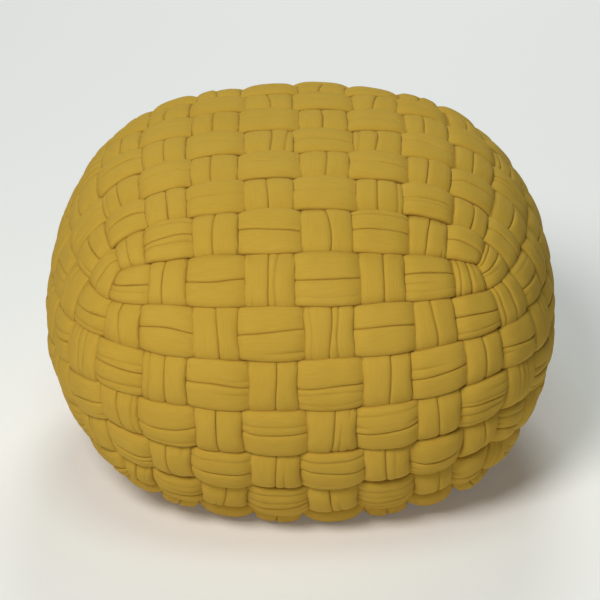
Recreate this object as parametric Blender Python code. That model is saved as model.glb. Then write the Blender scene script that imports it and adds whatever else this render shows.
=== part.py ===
"""Woven footstool: a round filled pouf in a plain weave of wide, soft bands.

Each band is two stuffed fabric tubes side by side, closed into a loop round the pouf. Eight loops
run from front to back over the top and under the base, eight run from left to right, and six lie
level round the sides. So the cover is laid out like a box of square cells drawn over a round body:
8 by 8 cells on the top and the base, and 8 by 6 on each side. In every cell one band lies on top
of another, and the band on top changes from each cell to the next. Three bands meet at the eight
corners of that box.

The footstool is one solid. Its body is rounded from the box of cells, each cell is raised as the
pillow of the band on top, with the crease between its two tubes, and the base is flat.

Metres, +Z up. The origin is on the floor under the middle, and the front faces -Y.
"""
import itertools
import math

import bmesh
import bpy
import numpy as np

# Whole footstool
WIDTH = 0.509            # over the bands at the widest level
CROWN_RISE = 0.178       # from the widest level up to the weave at the crown
FLOOR_DROP = 0.165       # from the widest level down to the floor

# Weave
CELLS = (8, 8, 6)        # cells along X, Y and Z
BAND_RISE = 0.0070       # a tube's top above the corners of its cell
CREASE = 0.0024          # depth of the crease between the two tubes of a band
NECK = 0.055             # how far a band on top draws in at each side, in cells

# Roundness of the body, as shares of its half width, or of its rise for the crown
SIDE_PULL = 0.214        # side walls, from their middle to the upright corners
SIDE_PULL_POWER = 2.7
EDGE_PULL = 0.2120       # side walls, from the widest level to the top and base
EDGE_PULL_POWER = 2.04
BOTH_PULL = 0.23         # given back where both pulls meet
CORNER_PULL = 0.157      # extra at the eight corners
CORNER_PULL_POWER = 1.4
CROWN_DROP = 0.222       # crown, from its middle to its edges
CROWN_POWER = 3.3
CROWN_CORNER = 0.154     # given back at the crown's corners
CELL_SPREAD = 0.11       # middle cells wider than the outer ones, across the top
ROW_SPREAD = 0.068       # the same up the sides

# Unevenness of the hand-made weave
ROW_SLANT = 0.0185       # rows rise to the right
ROW_ARCH = 0.0585        # rows rise at the upright corners
LEAN = 0.014             # the crown sits to the left of the base, for each metre of height

# Colour of the jersey
MUSTARD = (0.50, 0.32, 0.045, 1.0)
ROUGHNESS = 0.95

# Faces that meet at more than this angle keep a crisp edge between them
CRISP_ANGLE = math.radians(35)

# Each side of the box of cells: its fixed axis, which end of that axis it is at, and the axis
# along which the band on top runs in its even cells
SIDES = (
    ("front", 1, -1, 2),
    ("back", 1, 1, 0),
    ("left", 0, -1, 1),
    ("right", 0, 1, 2),
    ("top", 2, 1, 1),
    ("base", 2, -1, 0),
)

# Steps over a cell: place in the cell, then the band's height there across it and along it
STEPS = (
    (0.00, 0.00, 0.00),
    (0.22, 1.00, 0.84),
    (0.50, 1.00 - CREASE / BAND_RISE, 1.00),
    (0.78, 1.00, 0.84),
    (1.00, 0.00, 0.00),
)
STEP_COUNT = len(STEPS) - 1

HALF_WIDTH = WIDTH / 2 - BAND_RISE


def clear_scene():
    for old in list(bpy.data.objects):
        bpy.data.objects.remove(old, do_unlink=True)


def spread(place, amount):
    """Moves a place from -1 to 1 outwards, so that the middle cells are the wider ones."""
    return (1 + amount) * place - amount * place ** 3


def pull(beside, above):
    """How far out a side wall is, from the places beside its middle and above the widest level."""
    at_side = beside ** SIDE_PULL_POWER
    at_edge = above ** EDGE_PULL_POWER
    return 1 - SIDE_PULL * at_side - EDGE_PULL * at_edge + BOTH_PULL * at_side * at_edge


def body_point(place):
    """The body's point for a place on the box of cells, which reaches from -1 to 1 each way."""
    x, y, z = place
    ax, ay, az = abs(x), abs(y), abs(z)
    corner = 1 - CORNER_PULL * (ax * ay * az) ** CORNER_PULL_POWER
    crown = 1 - CROWN_DROP * (ax ** CROWN_POWER + ay ** CROWN_POWER)
    crown += CROWN_CORNER * (ax * ay) ** CROWN_POWER
    uneven = (ROW_SLANT * x + ROW_ARCH * (x * y) ** 2) * (1 - z * z)
    height = CROWN_RISE * (spread(z, ROW_SPREAD) * crown * corner + uneven)
    return np.array((
        HALF_WIDTH * spread(x, CELL_SPREAD) * pull(ay, az) * corner - LEAN * height,
        HALF_WIDTH * spread(y, CELL_SPREAD) * pull(ax, az) * corner,
        height,
    ))


def cells():
    """Every cell as its first corner and the axes along and across the band on top."""
    for _, fixed, end, even_run in SIDES:
        free = [axis for axis in range(3) if axis != fixed]
        for first, second in itertools.product(range(CELLS[free[0]]), range(CELLS[free[1]])):
            corner = [0, 0, 0]
            corner[fixed] = CELLS[fixed] if end > 0 else 0
            corner[free[0]] = first
            corner[free[1]] = second
            odd_run = free[0] if even_run == free[1] else free[1]
            run = even_run if (first + second) % 2 == 0 else odd_run
            across = free[0] if run == free[1] else free[1]
            yield corner, run, across


def woven_grid():
    """The grid of the cover: each point's place and height, and the faces between them."""
    places = {}
    heights = {}
    faces = []
    for corner, run, across in cells():
        keys = {}
        for along_step, across_step in itertools.product(range(STEP_COUNT + 1), repeat=2):
            key = [STEP_COUNT * number for number in corner]
            key[run] += along_step
            key[across] += across_step
            key = tuple(key)
            place = [float(number) for number in corner]
            place[run] += STEPS[along_step][0]
            place[across] += STEPS[across_step][0]
            at_side = across_step in (0, STEP_COUNT) and along_step not in (0, STEP_COUNT)
            if at_side:
                inward = 1 if across_step == 0 else -1
                place[across] += inward * NECK * STEPS[along_step][2]
                places[key] = place
            else:
                places.setdefault(key, place)
            heights[key] = BAND_RISE * STEPS[across_step][1] * STEPS[along_step][2]
            keys[along_step, across_step] = key
        for along_step, across_step in itertools.product(range(STEP_COUNT), repeat=2):
            faces.append((
                keys[along_step, across_step],
                keys[along_step + 1, across_step],
                keys[along_step + 1, across_step + 1],
                keys[along_step, across_step + 1],
            ))
    return places, heights, faces


def woven_body(bm):
    """Builds the closed body with each band on top raised along the surface's normal."""
    places, heights, faces = woven_grid()
    verts = {}
    for key, place in places.items():
        unit = [2 * place[axis] / CELLS[axis] - 1 for axis in range(3)]
        verts[key] = bm.verts.new(body_point(unit))
    for face in faces:
        bm.faces.new([verts[key] for key in face])
    bmesh.ops.recalc_face_normals(bm, faces=bm.faces)
    bm.normal_update()
    normals = {key: vert.normal.copy() for key, vert in verts.items()}
    for key, vert in verts.items():
        vert.co += heights[key] * normals[key]


def flatten_base(bm):
    """Cuts the body off level with the floor and closes it with one flat face."""
    everything = bm.verts[:] + bm.edges[:] + bm.faces[:]
    bmesh.ops.translate(bm, vec=(0, 0, FLOOR_DROP), verts=bm.verts)
    cut = bmesh.ops.bisect_plane(
        bm, geom=everything, plane_co=(0, 0, 0), plane_no=(0, 0, -1), clear_outer=True)
    rim = [item for item in cut["geom_cut"] if isinstance(item, bmesh.types.BMEdge)]
    bmesh.ops.edgeloop_fill(bm, edges=rim)
    bmesh.ops.recalc_face_normals(bm, faces=bm.faces)


def centre_on_floor(bm):
    """Puts the origin under the middle of the footstool's box."""
    corners = np.array([vert.co for vert in bm.verts])
    middle = (corners.min(axis=0) + corners.max(axis=0)) / 2
    bmesh.ops.translate(bm, vec=(-middle[0], -middle[1], 0), verts=bm.verts)


def jersey_material():
    material = bpy.data.materials.new("mustard_jersey")
    material.use_nodes = True
    shader = material.node_tree.nodes["Principled BSDF"]
    shader.inputs["Base Color"].default_value = MUSTARD
    shader.inputs["Roughness"].default_value = ROUGHNESS
    shader.inputs["Metallic"].default_value = 0.0
    return material


def make_pouf():
    bm = bmesh.new()
    woven_body(bm)
    flatten_base(bm)
    centre_on_floor(bm)
    mesh = bpy.data.meshes.new("woven_pouf")
    bm.to_mesh(mesh)
    bm.free()
    mesh.materials.append(jersey_material())
    mesh.shade_smooth()
    mesh.set_sharp_from_angle(angle=CRISP_ANGLE)
    pouf = bpy.data.objects.new("woven_pouf", mesh)
    bpy.context.scene.collection.objects.link(pouf)
    return pouf


clear_scene()
make_pouf()
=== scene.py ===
"""Looks of the woven footstool: closed bands of twin stuffed jersey tubes in a plain weave."""
import math

import bpy
import numpy as np
from mathutils import Matrix, Vector


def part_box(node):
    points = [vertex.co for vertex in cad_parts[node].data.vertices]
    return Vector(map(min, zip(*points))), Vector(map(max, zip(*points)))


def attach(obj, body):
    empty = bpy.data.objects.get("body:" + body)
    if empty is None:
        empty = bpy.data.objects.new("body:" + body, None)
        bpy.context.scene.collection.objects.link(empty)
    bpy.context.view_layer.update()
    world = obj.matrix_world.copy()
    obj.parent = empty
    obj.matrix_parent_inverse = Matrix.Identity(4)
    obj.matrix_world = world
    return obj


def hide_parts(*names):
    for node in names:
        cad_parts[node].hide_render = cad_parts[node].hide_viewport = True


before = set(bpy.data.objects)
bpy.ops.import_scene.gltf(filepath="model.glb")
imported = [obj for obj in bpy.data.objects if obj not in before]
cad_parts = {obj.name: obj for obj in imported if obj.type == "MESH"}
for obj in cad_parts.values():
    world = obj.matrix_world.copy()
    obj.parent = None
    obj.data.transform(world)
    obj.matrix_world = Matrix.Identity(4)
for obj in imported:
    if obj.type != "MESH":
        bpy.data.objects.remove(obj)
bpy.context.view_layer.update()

SEED = 41

# Weave, as in the solid
CELLS = (8, 8, 6)        # cells along X, Y and Z
BAND_RISE = 0.0070       # a tube's top above the corners of its cell

# Whole footstool, from the frame
NODE = "woven_pouf"
BODY = "root"
node_low, node_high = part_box(NODE)
HALF_WIDTH = (node_high[0] - node_low[0]) / 2 - BAND_RISE
HEIGHT = node_high[2] - BAND_RISE
CROWN_SHARE = 0.519      # share of the height that is above the widest level
CROWN_RISE = CROWN_SHARE * HEIGHT
FLOOR_DROP = HEIGHT - CROWN_RISE

# Roundness of the body, as shares of its half width, or of its rise for the crown
SIDE_PULL = 0.214        # side walls, from their middle to the upright corners
SIDE_PULL_POWER = 2.7
EDGE_PULL = 0.2120       # side walls, from the widest level to the top and base
EDGE_PULL_POWER = 2.04
BOTH_PULL = 0.23         # given back where both pulls meet
CORNER_PULL = 0.157      # extra at the eight corners
CORNER_PULL_POWER = 1.4
CROWN_DROP = 0.222       # crown, from its middle to its edges
CROWN_POWER = 3.3
CROWN_CORNER = 0.154     # given back at the crown's corners
CELL_SPREAD = 0.11       # middle cells wider than the outer ones, across the top
ROW_SPREAD = 0.068       # the same up the sides
ROW_SLANT = 0.0185       # rows rise to the right
ROW_ARCH = 0.0585        # rows rise at the upright corners
LEAN = 0.014             # the crown sits to the left of the base, for each metre of height

# Grid of the body under the weave
GRID = 8                 # steps in a cell
SMOOTH_PASSES = 24       # rounds the body over the edges of the box of cells
BASE_LEVEL = 0.0036      # the weave's corners above the floor, where the base lies flat
BASE_SOFTNESS = 0.0030   # how gently the body bends into its flat base

# Heights of a band, from the corners of the cells
TOP_SPARE = 0.0004       # taken off the solid's rise, before the bulge is added
OVER_TOP = BAND_RISE - TOP_SPARE
OVER_BOTTOM = -0.0090
UNDER_TOP = -0.0130
UNDER_BOTTOM = -0.0200

# Widths of a band, in cells
TUBE_OVERLAP = 0.011     # how far its two tubes press into each other
LOWEST_DROOP = 0.16      # how far the lowest level band reaches down over the base
PATCH_REACH = 0.56       # from the middle of a patch to its ends

# The bands are slacker and rounder towards the floor, and most of all on the right
SLACK_BELOW = 0.170      # height below which they get slacker
SLACK_EVEN = 0.55        # how slack they are at the floor, in the middle
SLACK_RIGHT = 0.45       # added at the right side, and taken off at the left
SLACK_ROUND = 0.50       # taken off the power of the dive, so that the patches are rounder
SLACK_RISE = 0.0050      # how much further a patch's middle stands out
SLACK_BULGE = 0.0036     # added to its bulge

# Section of a tube
TUBE_HALF = 0.0145       # its usual half width
INNER_POWER = 5.2        # squareness of the shoulder at the crease
BELOW_POWER = 2.6        # roundness underneath
BULGE_RAISED = 0.8       # share of a bulge by which the middle rises, and the sides sink by the rest

# Mesh of a tube
PANEL_STEPS = (7, 4, 5)  # steps over its upper side: to the first fold, between the two, and on
BELOW_STEPS = 7          # steps round its underside
OVER_RINGS = 16          # rings in a cell where the band lies on top
UNDER_RINGS = (0.03, 0.09, 0.20, 0.50, 0.80, 0.91, 0.97)    # their places in a cell where it doesn't
FOLD_FLANK = 0.06        # from a fold to the columns beside it, as a share of the half width

# Unevenness: the spacing of its knots along a band, in cells, and how far off each may be
TOP_WANDER = (1.0, 0.0006)           # height of a band's top
HALF_WANDER = (1.0, 0.012)           # its half width, in cells
MIDDLE_WANDER = (1.0, 0.014)         # its middle, in cells
CREASE_WANDER = (0.8, 0.085)         # its crease, in cells
CREASE_SHADE_WANDER = (0.7, 0.30)    # darkness of the painted shade in its crease
FOLD_WANDER = (0.9, 0.16)            # a fold, as a share of its tube's half width
SWELL_WANDER = (0.45, 0.00035)       # height of a tube
DRIFT_WANDER = (1.0, 0.0005)         # the same over longer stretches
TILT_WANDER = (0.45, 0.00045)        # height of one shoulder over the other
ROUND_WANDER = (0.6, 0.0003)         # height of the middle over both shoulders
SHAPING_RISE = 1.5       # how soon the tube's unevenness is full, going up from its edges

# Folds along a tube
FOLD_REST = (-0.30, 0.38)            # usual places, from -1 at the outer edge to 1 at the crease
FOLD_DEPTHS = (0.0005, 0.0016)
FOLD_WIDTH = 0.0014
FOLD_KINDS = 6           # equally likely, and whole apart from the three that follow
FAR_END, NEAR_END, NICKS = 1, 2, 3
FOLD_END = 0.75          # from the middle of a patch to a fold's end, in cells
FOLD_FADE = 0.15         # length over which it ends, in cells
END_SLOPE = 2.0          # how fast a fold at one end gets deeper, for each cell
NICK_START = 0.25        # from the middle of a patch to a nick, in cells
NICK_FADE = 0.25         # length over which a nick gets deeper, in cells
FOLD_SHADE = 0.0008      # how far the painted shade line in a fold reaches
FOLD_DARK = 300          # how dark that painted shade line is for its depth

# Painted shade: darker lines where tubes and bands touch, along the creases and where the corners of
# patches meet
SHOULDER_START = 0.70    # share of a tube's rise below which its outer shoulder gets darker
SHOULDER_FADE = 0.18     # how much lower it is darkest
SHOULDER_PALE = 0.50     # how much less dark a band's edges are where the bands are slackest
SHOULDER_CROWN = 0.35    # how much darker they are on the crown
CREASE_SHADE = 0.55      # usual darkness of a crease
CREASE_START = 0.86      # share of a tube's rise below which a crease gets darker
CREASE_FADE = 0.12       # how much lower it is darkest
CREASE_PALE = 0.35       # how much less dark a crease is where the bands are slackest
CONTACT_DARK = 0.85      # darkness of the line where a band touches the one that crosses beside it
CONTACT_REACH = 0.0012   # how far up a band's side that line reaches
CROSSING_HALF = 0.55     # half width of the crossing band, in cells
CROSSING_POWER = 8.0     # squareness of its section
CORNER_DARK = 0.7        # extra darkness where the corners of four patches meet
CORNER_REACH = 0.06      # how far that reaches along a band, in cells

# Painted shade: grooves between bands are painted darker below this height, over this depth
PAINTED_SHADE_TOP = 0.0016
PAINTED_SHADE_DEPTH = 0.0024
PAINTED_SHADE_SLACK = 0.0020    # how much lower that height is where the bands are slack

# The crown
CROWN_LEVEL = 0.80       # share of the height at which it starts
CROWN_FADE = 0.12        # share of the height over which it is fully reached
PRESS_FULL = 0.45        # its tubes are fully pressed up to here, as a share of the half width
PRESS_END = 0.68         # where they aren't pressed any more

# The three sets of closed bands. Across is the axis along which a set's bands are spaced, loop
# the two axes of the plane in which they run, and top_first whether band 1 lies on top in the
# first cell of its loop. Half widths are in cells, on top and where the band dives, and widen is
# where one changes to the other, in cells from the middle of a patch. A higher dive keeps the band
# up for longer. Bulge is how far the middle of a band stands over its sides, and shoulder how
# square its outer shoulders are. Folds are the chances at the crown and at the floor. Crown_wide
# is added to the half width at the crown, and crown_press to how far the two tubes press into
# each other. Edge is how dark the painted shade on the low outer shoulders is, where bands touch.
SETS = (
    dict(name="front_back", across=0, loop=(2, 1), top_first=True, over_half=0.444, crown_wide=0.045,
         crown_press=0.0, dive_half=0.502, widen=(0.0, 0.55), dive=1.50, bulge=0.0018, shoulder=3.0,
         edge=1.00, folds=(0.03, 0.35)),
    dict(name="left_right", across=1, loop=(2, 0), top_first=False, over_half=0.546, crown_wide=0.0,
         crown_press=0.032, dive_half=0.512, widen=(0.0, 0.50), dive=1.90, bulge=0.0024, shoulder=3.5,
         edge=1.00, folds=(0.10, 0.50)),
    dict(name="level", across=2, loop=(0, 1), top_first=False, over_half=0.532, crown_wide=0.0,
         crown_press=0.0, dive_half=0.514, widen=(0.0, 0.50), dive=1.90, bulge=0.0024, shoulder=3.5,
         edge=0.82, folds=(0.22, 0.62)),
)

# Jersey
JERSEY_SURFACE = {
    "Roughness": 0.95,
    "Specular IOR Level": 0.12,
    "Sheen Weight": 0.08,
    "Sheen Roughness": 0.6,
    "Sheen Tint": (0.9, 0.66, 0.2, 1.0),
}
DYE_DARKEST = (0.455, 0.275, 0.026, 1.0)
DYE_PALEST = (0.575, 0.372, 0.058, 1.0)
DYE_NOISE = {"Scale": 11.0, "Detail": 3.0}
WALES = (620.0, 60.0, 2.0)           # marks for each metre across and along a tube, and their detail
SLUB = (150.0, 420.0, 1.0)           # the same for short thick places in the yarn
DYE_SHARE = 0.5          # how much of the unevenness in colour follows the dye
WALES_SHARE = 0.5        # how much of it follows the wales
SLUB_SHARE = 0.5         # relief of the slub beside that of the wales
# Painted shade: a dark brown mixed into the jersey's colour along grooves, creases, folds and contact
# lines
PAINTED_SHADE_COLOUR = (0.165, 0.078, 0.010, 1.0)
PAINTED_SHADE_STRENGTH = 0.52   # share of that painted shade colour where the painted shade value is 1
JERSEY_BUMP = {"Strength": 0.4, "Distance": 0.0006}

# Camera, as the photograph was taken
VIEW_HEIGHT_ANGLE = math.radians(26.0)
VIEW_DISTANCE = 2.935
FOCAL_PIXELS = 2896
FRAME_PIXELS = 600
SENSOR = 36.0
CAMERA_ROLL = math.radians(-0.84)
AIM_PIXELS = (0.9, 5.5)  # how far right and up of the frame's middle the widest level's centre is

# Lights: the name, place, power and colour of each
LIGHTS = (
    ("key", (-1.02, -2.06, 2.54), 75.0, (1.0, 0.970, 0.93)),
    ("above", (0.0, -0.6, 3.0), 14.0, (0.82, 1.0, 0.88)),
    ("behind", (0.3, 2.4, 2.2), 35.0, (0.96, 1.0, 0.98)),
)
LIGHT_SIZE = 1.2

# Floor and surround
FLOOR_REACH = 15.0
FLOOR_GAP = 0.0003       # between the floor and the footstool
WHITE = (1.0, 1.0, 1.0, 1.0)
FLOOR_SURFACE = {"Base Color": (0.86, 0.86, 0.86, 1.0), "Roughness": 0.9, "Emission Color": WHITE}
GLOW_NEAR, GLOW_FAR = 0.10, 0.74     # strength beside the footstool, and far from it
GLOW_RANGE = {"From Min": 1.2, "From Max": 5.0, "To Min": GLOW_NEAR, "To Max": GLOW_FAR}
AMBIENT = {"Color": (0.94, 1.0, 1.10, 1.0), "Strength": 0.04}
BACKDROP = {"Color": WHITE, "Strength": GLOW_FAR}


def spread(place, amount):
    """Moves a place from -1 to 1 outwards, so that the middle cells are the wider ones."""
    return (1 + amount) * place - amount * place ** 3


def pull(beside, above):
    """How far out a side wall is, from the places beside its middle and above the widest level."""
    at_side = beside ** SIDE_PULL_POWER
    at_edge = above ** EDGE_PULL_POWER
    return 1 - SIDE_PULL * at_side - EDGE_PULL * at_edge + BOTH_PULL * at_side * at_edge


def body_points(places):
    """The body's points for places on the box of cells, which reaches from -1 to 1 each way."""
    x, y, z = places.T
    ax, ay, az = np.abs(places).T
    corner = 1 - CORNER_PULL * (ax * ay * az) ** CORNER_PULL_POWER
    crown = 1 - CROWN_DROP * (ax ** CROWN_POWER + ay ** CROWN_POWER)
    crown += CROWN_CORNER * (ax * ay) ** CROWN_POWER
    uneven = (ROW_SLANT * x + ROW_ARCH * (x * y) ** 2) * (1 - z * z)
    height = CROWN_RISE * (spread(z, ROW_SPREAD) * crown * corner + uneven)
    return np.stack((
        HALF_WIDTH * spread(x, CELL_SPREAD) * pull(ay, az) * corner - LEAN * height,
        HALF_WIDTH * spread(y, CELL_SPREAD) * pull(ax, az) * corner,
        height,
    ), axis=1)


def body_surface():
    """The rounded body on a fine grid: its points, and the number of each grid place."""
    size = [GRID * count + 1 for count in CELLS]
    outside = np.zeros(size, dtype=bool)
    outside[[0, -1], :, :] = True
    outside[:, [0, -1], :] = True
    outside[:, :, [0, -1]] = True
    keys = np.argwhere(outside)
    number = np.full(size, -1)
    number[tuple(keys.T)] = np.arange(len(keys))
    points = body_points(2 * keys / (np.array(size) - 1) - 1)
    reach = np.abs(points).max(axis=0)
    padded_number = np.pad(number, 1, constant_values=-1)
    beside = []
    for axis in range(3):
        for step in (-1, 1):
            moved = keys + 1
            moved[:, axis] += step
            beside.append(padded_number[tuple(moved.T)])
    beside = np.array(beside)
    real = (beside >= 0)[:, :, None]
    for _ in range(SMOOTH_PASSES):
        mean = (points[beside] * real).sum(axis=0) / real.sum(axis=0)
        points = (points + mean) / 2
    points *= reach / np.abs(points).max(axis=0)
    points[:, 2] += FLOOR_DROP
    above = (points[:, 2] - BASE_LEVEL) / BASE_SOFTNESS
    points[:, 2] = BASE_LEVEL + BASE_SOFTNESS * np.logaddexp(0, above)
    return points, number


def loop_keys(first, second):
    """Grid places once round the box, in the plane of two axes."""
    a, b = GRID * CELLS[first], GRID * CELLS[second]
    up, along = np.arange(a), np.arange(b)
    return np.concatenate((
        np.stack((up, np.zeros(a, int)), axis=1),
        np.stack((np.full(b, a), along), axis=1),
        np.stack((a - up, np.full(a, b)), axis=1),
        np.stack((np.zeros(b, int), b - along), axis=1),
    ))


class Strip:
    """The body under one set of loops: its points and outward normals, along and across."""

    def __init__(self, points, number, across, first, second):
        path = loop_keys(first, second)
        self.length = len(path) // GRID
        width = GRID * CELLS[across] + 1
        keys = np.zeros((len(path), width, 3), int)
        keys[:, :, across] = np.arange(width)[None, :]
        keys[:, :, first] = path[:, None, 0]
        keys[:, :, second] = path[:, None, 1]
        self.points = points[number[keys[..., 0], keys[..., 1], keys[..., 2]]]
        ahead = np.roll(self.points, -1, axis=0) - np.roll(self.points, 1, axis=0)
        normals = np.cross(ahead, np.gradient(self.points, axis=1))
        normals /= np.linalg.norm(normals, axis=2)[:, :, None]
        outward = self.points - np.array((0, 0, FLOOR_DROP))
        if (normals * outward).sum() < 0:
            normals = -normals
        self.normals = normals

    def at(self, along, across):
        """Points and normals at places given in cells, along the loop and across it."""
        row = (along % self.length) * GRID
        column = np.clip(across * GRID, -GRID, self.points.shape[1] - 1 + GRID)
        row_start = np.floor(row).astype(int)
        column_start = np.clip(np.floor(column).astype(int), 0, self.points.shape[1] - 2)
        row_part = (row - row_start)[..., None]
        column_part = (column - column_start)[..., None]
        next_row = (row_start + 1) % self.points.shape[0]
        found = []
        for values in (self.points, self.normals):
            near = values[row_start, column_start] * (1 - column_part)
            near += values[row_start, column_start + 1] * column_part
            far = values[next_row, column_start] * (1 - column_part)
            far += values[next_row, column_start + 1] * column_part
            found.append(near * (1 - row_part) + far * row_part)
        normals = found[1] / np.linalg.norm(found[1], axis=-1)[..., None]
        return found[0], normals


def ring_places(length, starts_on_top):
    """Places of the rings along a loop, close together where the band lies on top."""
    places = []
    for cell in range(length):
        if (cell % 2 == 0) == starts_on_top:
            steps = [(step + 0.5) / OVER_RINGS for step in range(OVER_RINGS)]
        else:
            steps = UNDER_RINGS
        places.extend(cell + step for step in steps)
    return np.array(places)


def fold_depth(rng, along, length, chances):
    """Depth of one fold along a loop: whole, at one end, or as nicks, over some of its cells."""
    depth = np.zeros_like(along)
    for cell, chance in chances:
        from_middle = (along - cell - 0.5 + length / 2) % length - length / 2
        draw, kind, size = rng.random(), rng.integers(FOLD_KINDS), rng.uniform(*FOLD_DEPTHS)
        if draw > chance:
            continue
        inside = np.clip((FOLD_END - np.abs(from_middle)) / FOLD_FADE, 0, 1)
        part = np.ones_like(along)
        if kind == FAR_END:
            part = np.clip(0.5 + END_SLOPE * from_middle, 0, 1)
        if kind == NEAR_END:
            part = np.clip(0.5 - END_SLOPE * from_middle, 0, 1)
        if kind == NICKS:
            part = np.clip((np.abs(from_middle) - NICK_START) / NICK_FADE, 0, 1)
        depth += size * inside * part
    return depth


def tube_columns(folds):
    """Places across a tube's upper side for each ring, from -1 to 1, with columns on the folds."""
    edges = [np.full_like(folds[0], -1.0), folds[0], folds[1], np.full_like(folds[0], 1.0)]
    angles = [np.arccos(np.clip(-edge, -1, 1)) for edge in edges]
    columns = [edges[0]]
    for panel, steps in enumerate(PANEL_STEPS):
        start, end = angles[panel], angles[panel + 1]
        for step in range(1, steps):
            columns.append(-np.cos(start + (end - start) * step / steps))
        if panel < 2:
            fold = edges[panel + 1]
            columns.extend((fold - FOLD_FLANK, fold, fold + FOLD_FLANK))
    columns.append(edges[3])
    return np.sort(np.stack(columns, axis=1), axis=1)


def profile(from_top, dive, slack):
    """A band's upper and lower height, at a distance from the middle of its patch in cells."""
    on_top = 0.5 + 0.5 * np.cos(math.pi * from_top ** (dive - SLACK_ROUND * slack))
    top = UNDER_TOP + (OVER_TOP - UNDER_TOP) * on_top
    top = top + SLACK_RISE * slack * np.clip(1 - (from_top / PATCH_REACH) ** 2, 0, 1)
    return top, UNDER_BOTTOM + (OVER_BOTTOM - UNDER_BOTTOM) * on_top


def crossing(look, along, name):
    """A value of the set that crosses a band, at places along the band's loop."""
    first, second = look["loop"]
    values = {other["across"]: other[name] for other in SETS}
    on_first = along % (CELLS[first] + CELLS[second]) < CELLS[first]
    return np.where(on_first, values[first], values[second])


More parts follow.
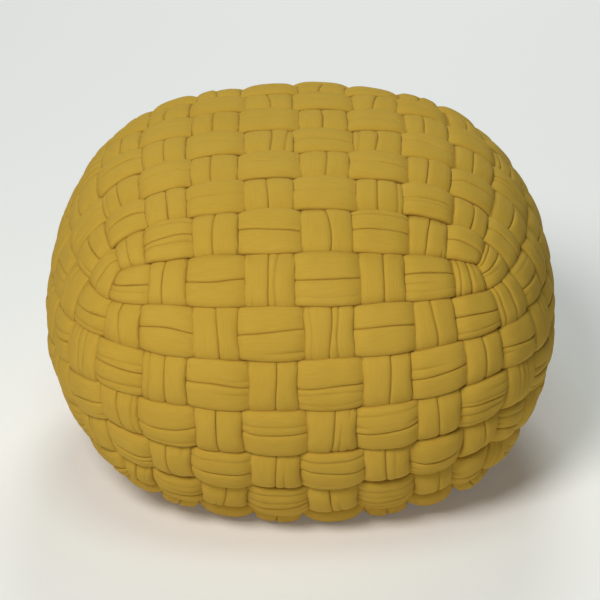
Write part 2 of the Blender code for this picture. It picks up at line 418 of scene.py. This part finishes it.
class Band:
    """One closed band of two tubes: where its rings are and how wide and high it is at each."""

    def __init__(self, strip, rng, number, look):
        length = strip.length
        top_first = look["top_first"] == (number % 2 == 0)
        along = ring_places(length, top_first)
        first_top = 0.5 if top_first else 1.5
        from_top = np.abs((along - first_top + 1) % 2 - 1)
        places = strip.at(along, np.full_like(along, number + 0.5))[0]
        lowness = np.clip(1 - places[:, 2] / SLACK_BELOW, 0, 1)
        slack = lowness * np.clip(SLACK_EVEN + SLACK_RIGHT * places[:, 0] / HALF_WIDTH, 0, 1)
        narrow, wide = look["widen"]
        dived = np.clip((from_top - narrow) / (wide - narrow), 0, 1)
        dived = dived ** 2 * (3 - 2 * dived)
        at_crown = np.clip((places[:, 2] / HEIGHT - CROWN_LEVEL) / CROWN_FADE, 0, 1)
        over_half = look["over_half"] + look["crown_wide"] * at_crown
        half = over_half + (look["dive_half"] - over_half) * dived
        droop = LOWEST_DROOP if look["across"] == 2 and number == 0 else 0.0
        from_axis = np.hypot(places[:, 0], places[:, 1]) / HALF_WIDTH
        pressed = np.clip((PRESS_END - from_axis) / (PRESS_END - PRESS_FULL), 0, 1) * at_crown

        self.strip, self.rng, self.look, self.number = strip, rng, look, number
        self.along, self.from_top, self.slack = along, from_top, slack
        # Painted shade lines: how dark they are, darker on the crown and paler where slack, and how
        # near a ring is to where the corners of four patches meet, where they are darker still
        self.darkness = 1 + SHOULDER_CROWN * at_crown - SHOULDER_PALE * slack
        self.at_corner = np.exp(-((from_top - 0.5) / CORNER_REACH) ** 2)
        self.bulge = look["bulge"] + SLACK_BULGE * slack
        # Height below which the grooves get painted shade, lower where the bands are slack
        self.painted_shade_top = PAINTED_SHADE_TOP - PAINTED_SHADE_SLACK * slack
        self.overlap = TUBE_OVERLAP + look["crown_press"] * pressed
        self.chances = self.fold_chances(top_first)
        self.top, self.bottom = profile(from_top, look["dive"], slack)
        self.top = self.top + self.wander(*TOP_WANDER)
        self.half = half + self.wander(*HALF_WANDER) + droop / 2
        self.middle = number + 0.5 + self.wander(*MIDDLE_WANDER) - droop / 2
        self.crease = self.middle + self.wander(*CREASE_WANDER)
        # Painted shade in the crease between the two tubes, paler where the bands are slack
        self.crease_shade = CREASE_SHADE + self.wander(*CREASE_SHADE_WANDER)
        self.crease_shade *= 1 - CREASE_PALE * slack

    def wander(self, spacing, size):
        """A smooth random value along the loop, with a new knot at each spacing."""
        length = self.strip.length
        count = max(4, round(length / spacing))
        knots = self.rng.uniform(-size, size, count)
        place = (self.along % length) / length * count
        start = np.floor(place).astype(int)
        part = place - start
        a, b, c, d = (knots[(start + step) % count] for step in (-1, 0, 1, 2))
        curve = 2 * a - 5 * b + 4 * c - d + part * (3 * (b - c) + d - a)
        return b + part / 2 * (c - a + part * curve)

    def fold_chances(self, top_first):
        """The cells in which the band lies on top, each with the chance of a fold there."""
        length, across = self.strip.length, self.look["across"]
        crown_chance, floor_chance = self.look["folds"]
        chances = []
        for cell in range(length):
            if (cell % 2 == 0) != top_first:
                continue
            place, _ = self.strip.at(np.array([cell + 0.5]), np.array([self.number + 0.5]))
            level = place[0, 2] / HEIGHT
            chance = floor_chance + (crown_chance - floor_chance) * level
            on_base = across < 2 and cell >= length - CELLS[1 - across]
            chances.append((cell, 0.0 if on_base else chance))
        return chances

    def crossing_height(self, across):
        """Height of the band that crosses beside this one, at places across this one."""
        from_top = 1 - np.abs(across - self.number - 0.5)
        dive = crossing(self.look, self.along, "dive")[:, None]
        top, bottom = profile(from_top, dive, self.slack[:, None])
        beside = np.clip(self.from_top / CROSSING_HALF, 0, 1)[:, None]
        rise = (1 - beside ** CROSSING_POWER) ** (1 / CROSSING_POWER)
        bulge = crossing(self.look, self.along, "bulge") + SLACK_BULGE * self.slack
        height = (top + bottom + (top - bottom) * rise) / 2
        return height + bulge[:, None] * (BULGE_RAISED - beside ** 2)

    def folds(self, side):
        """Two folds of a tube, each as its places across the tube and its depths."""
        found = []
        for rest in FOLD_REST:
            place = -side * rest + self.wander(*FOLD_WANDER)
            depth = fold_depth(self.rng, self.along, self.strip.length, self.chances)
            found.append((place, depth))
        return sorted(found, key=lambda fold: fold[0][0])

    def section(self, side, upper, lower):
        """A tube's smooth section: places across the band, heights, and rises of its upper side."""
        across = np.concatenate((upper, lower), axis=1)
        edge = self.middle + side * self.half
        inner = self.crease - side * self.overlap
        start, end = (edge, inner) if side < 0 else (inner, edge)
        width = start[:, None] + (across + 1) / 2 * (end - start)[:, None]
        beside = (width - self.middle[:, None]) / self.half[:, None]
        power = np.where(upper * side > 0, self.look["shoulder"], INNER_POWER)
        rise = np.clip(1 - np.abs(upper) ** power, 0, 1) ** (1 / power)
        fall = -np.clip(1 - np.abs(lower) ** BELOW_POWER, 0, 1) ** (1 / BELOW_POWER)
        level = (self.top + self.bottom)[:, None] / 2
        half_height = (self.top - self.bottom)[:, None] / 2
        height = level + half_height * np.concatenate((rise, fall), axis=1)
        return width, height + self.bulge[:, None] * (BULGE_RAISED - beside ** 2), rise

    def painted_edge_shade(self, side, upper, rise, above):
        """Painted shade at a tube's edges, with its height above the band that crosses beside it."""
        outer = self.look["edge"] * np.clip((SHOULDER_START - rise) / SHOULDER_FADE, 0, 1)
        outer = outer * (1 + CORNER_DARK * self.at_corner[:, None])
        outer = outer * self.darkness[:, None]
        contact = CONTACT_DARK * np.clip(1 - above / CONTACT_REACH, 0, 1) * self.darkness[:, None]
        crease = self.crease_shade[:, None] * np.clip((CREASE_START - rise) / CREASE_FADE, 0, 1)
        return np.where(upper * side > 0, np.maximum(outer, contact), crease)

    def tube(self, side):
        """One stuffed tube: rings of points round it, and how much painted shade each point gets."""
        folds = self.folds(side)
        upper = tube_columns([place for place, _ in folds])
        lower = np.cos(np.linspace(0, math.pi, BELOW_STEPS + 1)[1:-1])[None, :]
        lower = np.repeat(lower, len(self.along), axis=0)
        count = upper.shape[1]
        width, height, rise = self.section(side, upper, lower)
        above = height[:, :count] - self.crossing_height(width[:, :count])
        shade = self.painted_edge_shade(side, upper, rise, above)

        shaping = self.wander(*SWELL_WANDER)[:, None]
        shaping = shaping + self.wander(*DRIFT_WANDER)[:, None]
        shaping = shaping + self.wander(*TILT_WANDER)[:, None] * upper
        shaping = shaping + self.wander(*ROUND_WANDER)[:, None] * (1 - 2 * upper ** 2)
        for place, depth in folds:
            away = np.abs(upper - place[:, None]) * TUBE_HALF
            shaping = shaping - depth[:, None] * np.exp(-away / FOLD_WIDTH)
            # Painted shade line along the fold
            shade = shade + FOLD_DARK * depth[:, None] * np.exp(-away / FOLD_SHADE)
        height[:, :count] += shaping * np.clip(rise * SHAPING_RISE, 0, 1)

        # Painted shade: darker the lower a point lies, and at least as dark as the painted lines of
        # the upper side
        painted_shade = np.clip((self.painted_shade_top[:, None] - height) / PAINTED_SHADE_DEPTH, 0, 1)
        painted_shade[:, :count] = np.maximum(painted_shade[:, :count], shade)
        along = np.repeat(self.along[:, None], width.shape[1], axis=1)
        points, normals = self.strip.at(along, width)
        points = points + normals * height[..., None]
        points[..., 2] = np.maximum(points[..., 2], 0.0)
        return points, painted_shade


def tube_mesh(name, tubes):
    """One mesh of closed tubes, with lengths round and along them in metres as its UV map."""
    verts, faces, uvs, painted_shades = [], [], [], []
    offset = 0
    for rings, painted_shade in tubes:
        count, around = rings.shape[:2]
        ring, column = np.meshgrid(np.arange(count), np.arange(around), indexing="ij")
        next_ring, next_column = (ring + 1) % count, (column + 1) % around
        corners = (
            (ring, column), (ring, next_column), (next_ring, next_column), (next_ring, column))
        faces.append(offset + np.stack([r * around + c for r, c in corners], axis=-1).reshape(-1, 4))
        closed = np.concatenate((rings, rings[:1]), axis=0)
        step_along = np.linalg.norm(np.diff(closed, axis=0), axis=2).mean(axis=1)
        closed = np.concatenate((rings, rings[:, :1]), axis=1)
        step_round = np.linalg.norm(np.diff(closed, axis=1), axis=2).mean(axis=0)
        at_ring = np.concatenate(((0.0,), np.cumsum(step_along)))
        at_column = np.concatenate(((0.0,), np.cumsum(step_round)))
        steps = ((0, 0), (0, 1), (1, 1), (1, 0))
        uvs.append(np.stack(
            [np.stack((at_column[column + c], at_ring[ring + r]), axis=-1) for r, c in steps],
            axis=2).reshape(-1, 2))
        verts.append(rings.reshape(-1, 3))
        painted_shades.append(painted_shade.ravel())
        offset += count * around
    verts, faces, uvs = np.concatenate(verts), np.concatenate(faces), np.concatenate(uvs)
    mesh = bpy.data.meshes.new(name)
    mesh.vertices.add(len(verts))
    mesh.vertices.foreach_set("co", verts.astype(np.float32).ravel())
    mesh.loops.add(faces.size)
    mesh.loops.foreach_set("vertex_index", faces.ravel())
    mesh.polygons.add(len(faces))
    mesh.polygons.foreach_set("loop_start", np.arange(0, faces.size, 4))
    mesh.polygons.foreach_set("loop_total", np.full(len(faces), 4))
    mesh.update(calc_edges=True)
    layer = mesh.uv_layers.new(name="tube")
    layer.data.foreach_set("uv", uvs.astype(np.float32).ravel())
    # Painted shade, from 0 to 1, which the material mixes in as a dark brown
    shade = mesh.attributes.new("painted_shade", "FLOAT", "POINT")
    shade.data.foreach_set("value", np.concatenate(painted_shades).astype(np.float32))
    mesh.validate()
    mesh.shade_smooth()
    return mesh


def set_inputs(node, values):
    """Sets inputs of a node by their names."""
    for name, value in values.items():
        node.inputs[name].default_value = value


def jersey_material():
    """Matte mustard jersey: fine knit wales along the tube, uneven dye, and painted shade in the
    grooves.
    """
    material = bpy.data.materials.new("mustard_jersey")
    material.use_nodes = True
    nodes, links = material.node_tree.nodes, material.node_tree.links
    shader = nodes["Principled BSDF"]
    set_inputs(shader, JERSEY_SURFACE)

    place = nodes.new("ShaderNodeTexCoord")
    uv = nodes.new("ShaderNodeUVMap")
    uv.uv_map = "tube"

    dye = nodes.new("ShaderNodeTexNoise")
    set_inputs(dye, DYE_NOISE)
    links.new(place.outputs["Object"], dye.inputs["Vector"])

    def streaks(across, along, detail):
        stretch = nodes.new("ShaderNodeMapping")
        set_inputs(stretch, {"Scale": (across, along, 1.0)})
        links.new(uv.outputs["UV"], stretch.inputs["Vector"])
        noise = nodes.new("ShaderNodeTexNoise")
        set_inputs(noise, {"Scale": 1.0, "Detail": detail})
        links.new(stretch.outputs["Vector"], noise.inputs["Vector"])
        return noise.outputs["Fac"]

    def maths(operation, first, second, third=0.0):
        node = nodes.new("ShaderNodeMath")
        node.operation = operation
        for index, value in enumerate((first, second, third)):
            if isinstance(value, float):
                node.inputs[index].default_value = value
            else:
                links.new(value, node.inputs[index])
        return node.outputs["Value"]

    def mixed(factor, first, second):
        node = nodes.new("ShaderNodeMix")
        node.data_type = "RGBA"
        links.new(factor, node.inputs["Factor"])
        for name, value in (("A", first), ("B", second)):
            if isinstance(value, tuple):
                node.inputs[name].default_value = value
            else:
                links.new(value, node.inputs[name])
        return node.outputs["Result"]

    wales = streaks(*WALES)
    slub = streaks(*SLUB)
    from_wales = maths("MULTIPLY", wales, WALES_SHARE)
    blend = maths("MULTIPLY_ADD", dye.outputs["Fac"], DYE_SHARE, from_wales)
    jersey = mixed(blend, DYE_DARKEST, DYE_PALEST)
    # Painted shade: the attribute mixes the dark brown into the jersey's colour
    painted_shade = nodes.new("ShaderNodeAttribute")
    painted_shade.attribute_name = "painted_shade"
    painted_shade_share = maths("MULTIPLY", painted_shade.outputs["Fac"], PAINTED_SHADE_STRENGTH)
    colour = mixed(painted_shade_share, jersey, PAINTED_SHADE_COLOUR)
    links.new(colour, shader.inputs["Base Color"])

    bump = nodes.new("ShaderNodeBump")
    set_inputs(bump, JERSEY_BUMP)
    links.new(maths("MULTIPLY_ADD", slub, SLUB_SHARE, wales), bump.inputs["Height"])
    links.new(bump.outputs["Normal"], shader.inputs["Normal"])
    return material


def make_bands(material):
    """The closed bands of the three sets, each a piece of its own."""
    points, number = body_surface()
    rng = np.random.default_rng(SEED)
    for look in SETS:
        strip = Strip(points, number, look["across"], *look["loop"])
        for index in range(CELLS[look["across"]]):
            title = f"band_{look['name']}_{index + 1}"
            twins = Band(strip, rng, index, look)
            mesh = tube_mesh(title, [twins.tube(side) for side in (-1, 1)])
            mesh.materials.append(material)
            band = bpy.data.objects.new(title, mesh)
            bpy.context.scene.collection.objects.link(band)
            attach(band, BODY)
            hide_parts(NODE)


def turn_along(direction):
    """The turn that makes a camera or a light look along a direction."""
    return direction.to_track_quat("-Z", "Y")


def make_camera():
    """A camera at the photograph's angle and distance."""
    data = bpy.data.cameras.new("camera")
    data.sensor_width = SENSOR
    data.lens = FOCAL_PIXELS / FRAME_PIXELS * SENSOR
    camera = bpy.data.objects.new("camera", data)
    bpy.context.scene.collection.objects.link(camera)
    away = Vector((0, -math.cos(VIEW_HEIGHT_ANGLE), math.sin(VIEW_HEIGHT_ANGLE)))
    pixel = VIEW_DISTANCE / FOCAL_PIXELS
    up = Vector((0, math.sin(VIEW_HEIGHT_ANGLE), math.cos(VIEW_HEIGHT_ANGLE)))
    aim = Vector((0, 0, FLOOR_DROP)) - Vector((1, 0, 0)) * AIM_PIXELS[0] * pixel
    aim -= up * AIM_PIXELS[1] * pixel
    turn = turn_along(-away).to_matrix().to_4x4()
    camera.matrix_world = (
        Matrix.Translation(aim + away * VIEW_DISTANCE) @ turn @ Matrix.Rotation(CAMERA_ROLL, 4, "Z"))
    bpy.context.scene.camera = camera


def make_light(name, place, power, colour):
    """A soft round light that points at the footstool's middle."""
    data = bpy.data.lights.new(name, "AREA")
    data.shape = "DISK"
    data.size = LIGHT_SIZE
    data.energy = power
    data.color = colour
    light = bpy.data.objects.new(name, data)
    light.location = place
    light.rotation_euler = turn_along(Vector((0, 0, FLOOR_DROP)) - Vector(place)).to_euler()
    bpy.context.scene.collection.objects.link(light)


def floor_material():
    """Matt white, with a glow that rises far from the footstool, so that the floor stays pale."""
    material = bpy.data.materials.new("floor")
    material.use_nodes = True
    nodes, links = material.node_tree.nodes, material.node_tree.links
    shader = nodes["Principled BSDF"]
    set_inputs(shader, FLOOR_SURFACE)
    place = nodes.new("ShaderNodeTexCoord")
    distance = nodes.new("ShaderNodeVectorMath")
    distance.operation = "LENGTH"
    links.new(place.outputs["Object"], distance.inputs[0])
    glow = nodes.new("ShaderNodeMapRange")
    glow.interpolation_type = "SMOOTHSTEP"
    links.new(distance.outputs["Value"], glow.inputs["Value"])
    set_inputs(glow, GLOW_RANGE)
    links.new(glow.outputs["Result"], shader.inputs["Emission Strength"])
    return material


def make_floor():
    """A plain pale floor, which is stage and not a piece."""
    mesh = bpy.data.meshes.new("floor")
    reach = FLOOR_REACH
    mesh.from_pydata(
        [(-reach, -reach, 0), (reach, -reach, 0), (reach, reach, 0), (-reach, reach, 0)],
        [], [(0, 1, 2, 3)])
    mesh.materials.append(floor_material())
    floor = bpy.data.objects.new("floor", mesh)
    floor.location.z = -FLOOR_GAP
    bpy.context.scene.collection.objects.link(floor)


def make_surround():
    """A faint light from all round, seen by the camera as a pale backdrop."""
    world = bpy.data.worlds.new("surround")
    world.use_nodes = True
    nodes, links = world.node_tree.nodes, world.node_tree.links
    ambient = nodes["Background"]
    set_inputs(ambient, AMBIENT)
    backdrop = nodes.new("ShaderNodeBackground")
    set_inputs(backdrop, BACKDROP)
    path = nodes.new("ShaderNodeLightPath")
    mix = nodes.new("ShaderNodeMixShader")
    links.new(path.outputs["Is Camera Ray"], mix.inputs["Fac"])
    links.new(ambient.outputs["Background"], mix.inputs[1])
    links.new(backdrop.outputs["Background"], mix.inputs[2])
    links.new(mix.outputs["Shader"], nodes["World Output"].inputs["Surface"])
    bpy.context.scene.world = world


make_bands(jersey_material())
make_camera()
make_floor()
make_surround()
bpy.context.scene.view_settings.view_transform = "Standard"
for light_values in LIGHTS:
    make_light(*light_values)
